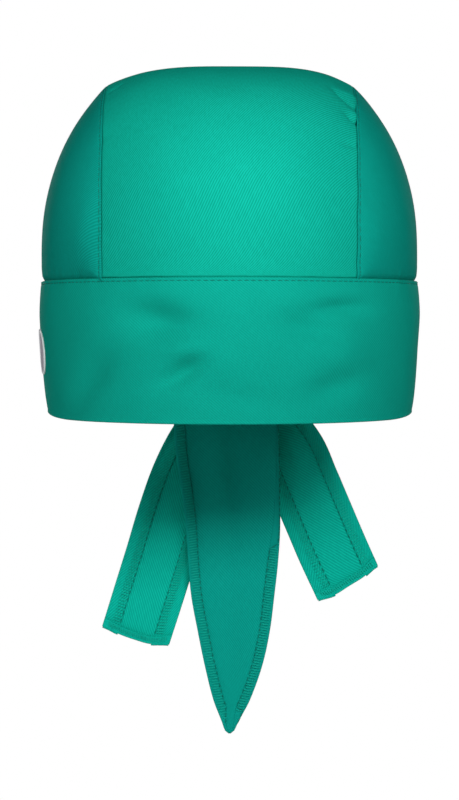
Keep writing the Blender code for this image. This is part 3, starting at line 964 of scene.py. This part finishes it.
def addStitch(bm, start, end, normal, thick):
    along = end - start
    z = along.normalized()
    x = normal.cross(z).normalized()
    turned = Matrix((x, z.cross(x), z)).transposed().to_4x4()
    shape = Matrix.Diagonal((thick, thick, along.length, 1))
    placed = stitchGrain.copy()
    placed.transform(Matrix.Translation((start + end) / 2) @ turned @ shape)
    bm.from_mesh(placed)
    bpy.data.meshes.remove(placed)


def sewLine(bm, curve, length, normal, lift):
    # running stitches along a curve that is read from 0 to 1
    count = max(int(length / (stitch["length"] + stitch["gap"])), 1)
    for number in range(count):
        first = (number + stitch["from"]) / count
        second = first + stitch["shown"] / count
        start, end = curve(first), curve(second)
        up = normal((start + end) / 2)
        addStitch(bm, start + up * lift, end + up * lift, up, stitch["thick"])


def threadPiece(name, bm, material, slot):
    asPiece(clothObject(name, bm, 0, material), slot)


def sewBand():
    bm = bmesh.new()
    reach = knotSideTurn - 0.05

    def line(fromTop, span):
        def curve(share):
            turn = mix(span[0], span[1], share)
            low, high = bandEdges(turn)
            inset = band["stitchBelow"] / (high - low)
            return bandFace(turn, 1 - inset if fromTop else inset)
        return curve
    sewLine(bm, line(True, (-reach, reach)), reach * 2 * head["meanRadius"], outOf,
            stitch["lift"])
    for side in (-1, 1):
        span = (side * head["bandTurn"], side * reach)
        length = abs(span[1] - span[0]) * head["meanRadius"]
        sewLine(bm, line(False, span), length, outOf, stitch["lift"])
    threadPiece("band_stitches", bm, shadedSewingThread, "band_twill")


def sewCrown():
    bm = bmesh.new()
    for side in (-1, 1):
        def curve(share):
            place = shareAt(mix(0.004, 0.985, share))
            height = sideFace(side, place, 0.5)[1]
            return sideCloth(side, place, crown["stitchFrom"] / max(height, 0.004))
        sewLine(bm, curve, lineRun[-1], outOf, stitch["lift"])
    threadPiece("crown_stitches", bm, shadedSewingThread, "crown_twill")


def overlock(bm, place, length, tickWidth):
    # threads over a raw edge: place(inwards, share of the length)
    count = int(length / stitch["tickEvery"])
    for number in range(count):
        share = (number + 0.5) / count
        tip = share + stitch["tickLean"] / count
        start, end = place(stitch["tickFrom"], share), place(tickWidth, tip)
        addStitch(bm, start, end, Vector((0, -1, 0)), stitch["tickThick"])


def sewHem(ticks, lines, flap, outside, flapLength, length):
    # overlock and a line on the folded-over side, and a line on the other face
    overlock(ticks, flap, flapLength, stitch["tickWidth"])
    # the dark line beside each flap's raw edge paints the shade of the gap under it
    sewLine(lines, lambda share: flap(strip["flapLine"], share), flapLength, towardsNeck, 0.0)
    sewLine(lines, outside, length, awayFromNeck, 0.0)


def sewStrips():
    onFlap = Vector((0, -strip["cloth"] - strip["onFlap"], 0))
    onBack = Vector((0, strip["onBack"], 0))
    ticks, lines = bmesh.new(), bmesh.new()
    for side in (0, 1):
        def flap(inwards, share):
            along = mix(0.01, 0.97, share)
            width, left, right = tailHems(along)
            at = -left + inwards if side == 0 else width + right - inwards
            if side == 1 and right < stitch["tickWidth"] + 0.001:
                # the hem is too narrow here, so the threads stay short and inside it
                at = width + 0.3 * right - inwards * 0.1
            return tailCloth(at, along) + onFlap

        def outside(share):
            along = mix(0.01, 0.97, share)
            width, left, right = tailHems(along)
            at = left - strip["backLine"] if side == 0 else width - right + strip["backLine"]
            return tailCloth(at, along) + onBack
        sewHem(ticks, lines, flap, outside, tail["length"], tail["length"])
    for tie in (ties["left"], ties["right"]):
        width, length, hem = ties["width"], tie["length"], ties["endHem"]
        left, right = tie["hems"]
        for side in (0, 1):
            def flap(inwards, share):
                at = -left + inwards if side == 0 else width + right - inwards
                return tieCloth(tie, at, share * (length - hem)) + onFlap

            def outside(share):
                at = left - strip["backLine"] if side == 0 else width - right + strip["backLine"]
                return tieCloth(tie, at, mix(0.01, 0.99, share) * length) + onBack
            sewHem(ticks, lines, flap, outside, length - hem, length)

        def endFlap(inwards, share):
            at = mix(0.002, width - 0.002, share)
            return tieCloth(tie, at, length + hem - inwards) + onFlap

        def endLine(share):
            return tieCloth(tie, share * width, length - hem + strip["backLine"]) + onBack
        overlock(ticks, endFlap, width, stitch["tickWidth"] * 0.8)
        sewLine(lines, endLine, width, awayFromNeck, 0.0)
    threadPiece("overlock_threads", ticks, litOverlockThread, "tie_twill")
    threadPiece("hem_stitches", lines, shadedSewingThread, "tie_twill")


sewBand()
sewCrown()
sewStrips()
print("stitches sewn")


# Stage, light and camera
stage = {
    "floor": -0.62,
    "radius": 1.5,
    "paper": "#e6e6e6",
    "fill": 0.012,
    "fillColour": "#eef4ff",
    "lampDistance": 2.2,
    "softboxSize": (0.7, 0.35),
    # softboxes: turn from the front and height in degrees, power in watts
    "softboxes": ((15, 19, 25), (-15, 19, 8.5), (-40, 5, 2), (40, 19, 4.5), (-70, 14, 6.5),
                  (165, 8, 9), (-165, 8, 9)),
    # a narrow lamp that brightens the middle of the crown
    "poolPlace": (10, 24),
    "poolAim": (0.006, -0.09, 0.098),
    "poolPower": 105.0,
    "poolAngle": math.radians(3.5),
    "poolSource": 0.05,
}


def makeStage():
    bm = bmesh.new()
    bmesh.ops.create_circle(bm, cap_ends=True, segments=96, radius=stage["radius"])
    bmesh.ops.translate(bm, vec=(0, 0, stage["floor"]), verts=bm.verts)
    mesh = toMesh("floor", bm)
    paper, tree, shader = newMaterial("matt white paper")
    shader.inputs["Base Color"].default_value = hexColour(stage["paper"])
    shader.inputs["Roughness"].default_value = 0.9
    mesh.materials.append(paper)
    addObject("floor", mesh)


def placeLamp(light, turn, height, aim):
    # on a sphere round the rim's middle: degrees from the front, and above the rim
    turn, height, away = math.radians(turn), math.radians(height), stage["lampDistance"]
    place = Vector((away * math.sin(turn) * math.cos(height),
                    -away * math.cos(turn) * math.cos(height), away * math.sin(height)))
    lamp = addObject(light.name, light)
    lamp.location = place
    lamp.rotation_euler = (Vector(aim) - place).to_track_quat("-Z", "Y").to_euler()


def makeLights():
    for turn, height, power in stage["softboxes"]:
        softbox = bpy.data.lights.new("softbox %d" % turn, "AREA")
        softbox.shape = "RECTANGLE"
        softbox.size, softbox.size_y = stage["softboxSize"]
        softbox.energy = power
        placeLamp(softbox, turn, height, (0, 0, 0))
    pool = bpy.data.lights.new("snooted lamp on the crown", "SPOT")
    pool.energy = stage["poolPower"]
    pool.spot_size = stage["poolAngle"]
    pool.spot_blend = 1.0
    pool.shadow_soft_size = stage["poolSource"]
    placeLamp(pool, *stage["poolPlace"], stage["poolAim"])


def makeWorld():
    # a white room: pure white where it is seen, and a low cool fill on the cloth
    world = bpy.data.worlds.new("white studio")
    bpy.context.scene.world = world
    world.use_nodes = True
    tree = world.node_tree
    seen = addNode(tree, "ShaderNodeBackground", {"Color": (1, 1, 1, 1), "Strength": 1.0})
    path = addNode(tree, "ShaderNodeLightPath")
    fill = tree.nodes["Background"]
    fill.inputs["Color"].default_value = hexColour(stage["fillColour"])
    fill.inputs["Strength"].default_value = stage["fill"]
    both = addNode(tree, "ShaderNodeMixShader", {0: path.outputs["Is Camera Ray"],
                   1: fill.outputs[0], 2: seen.outputs[0]})
    tree.links.new(both.outputs[0], tree.nodes["World Output"].inputs["Surface"])


makeStage()
makeWorld()
makeLights()

# the camera stands 1 m in front of the ears, and looks a little down
view = {"place": (0, -1.0, 0.0374), "lens": 100, "down": math.radians(1.856)}
camera = bpy.data.cameras.new("camera")
camera.lens = view["lens"]
camera.sensor_width = 36
eye = addObject("camera", camera)
eye.location = view["place"]
eye.rotation_euler = (math.pi / 2 - view["down"], 0, 0)
bpy.context.scene.camera = eye
bpy.context.scene.view_settings.view_transform = "Standard"
print("stage, light and camera set")
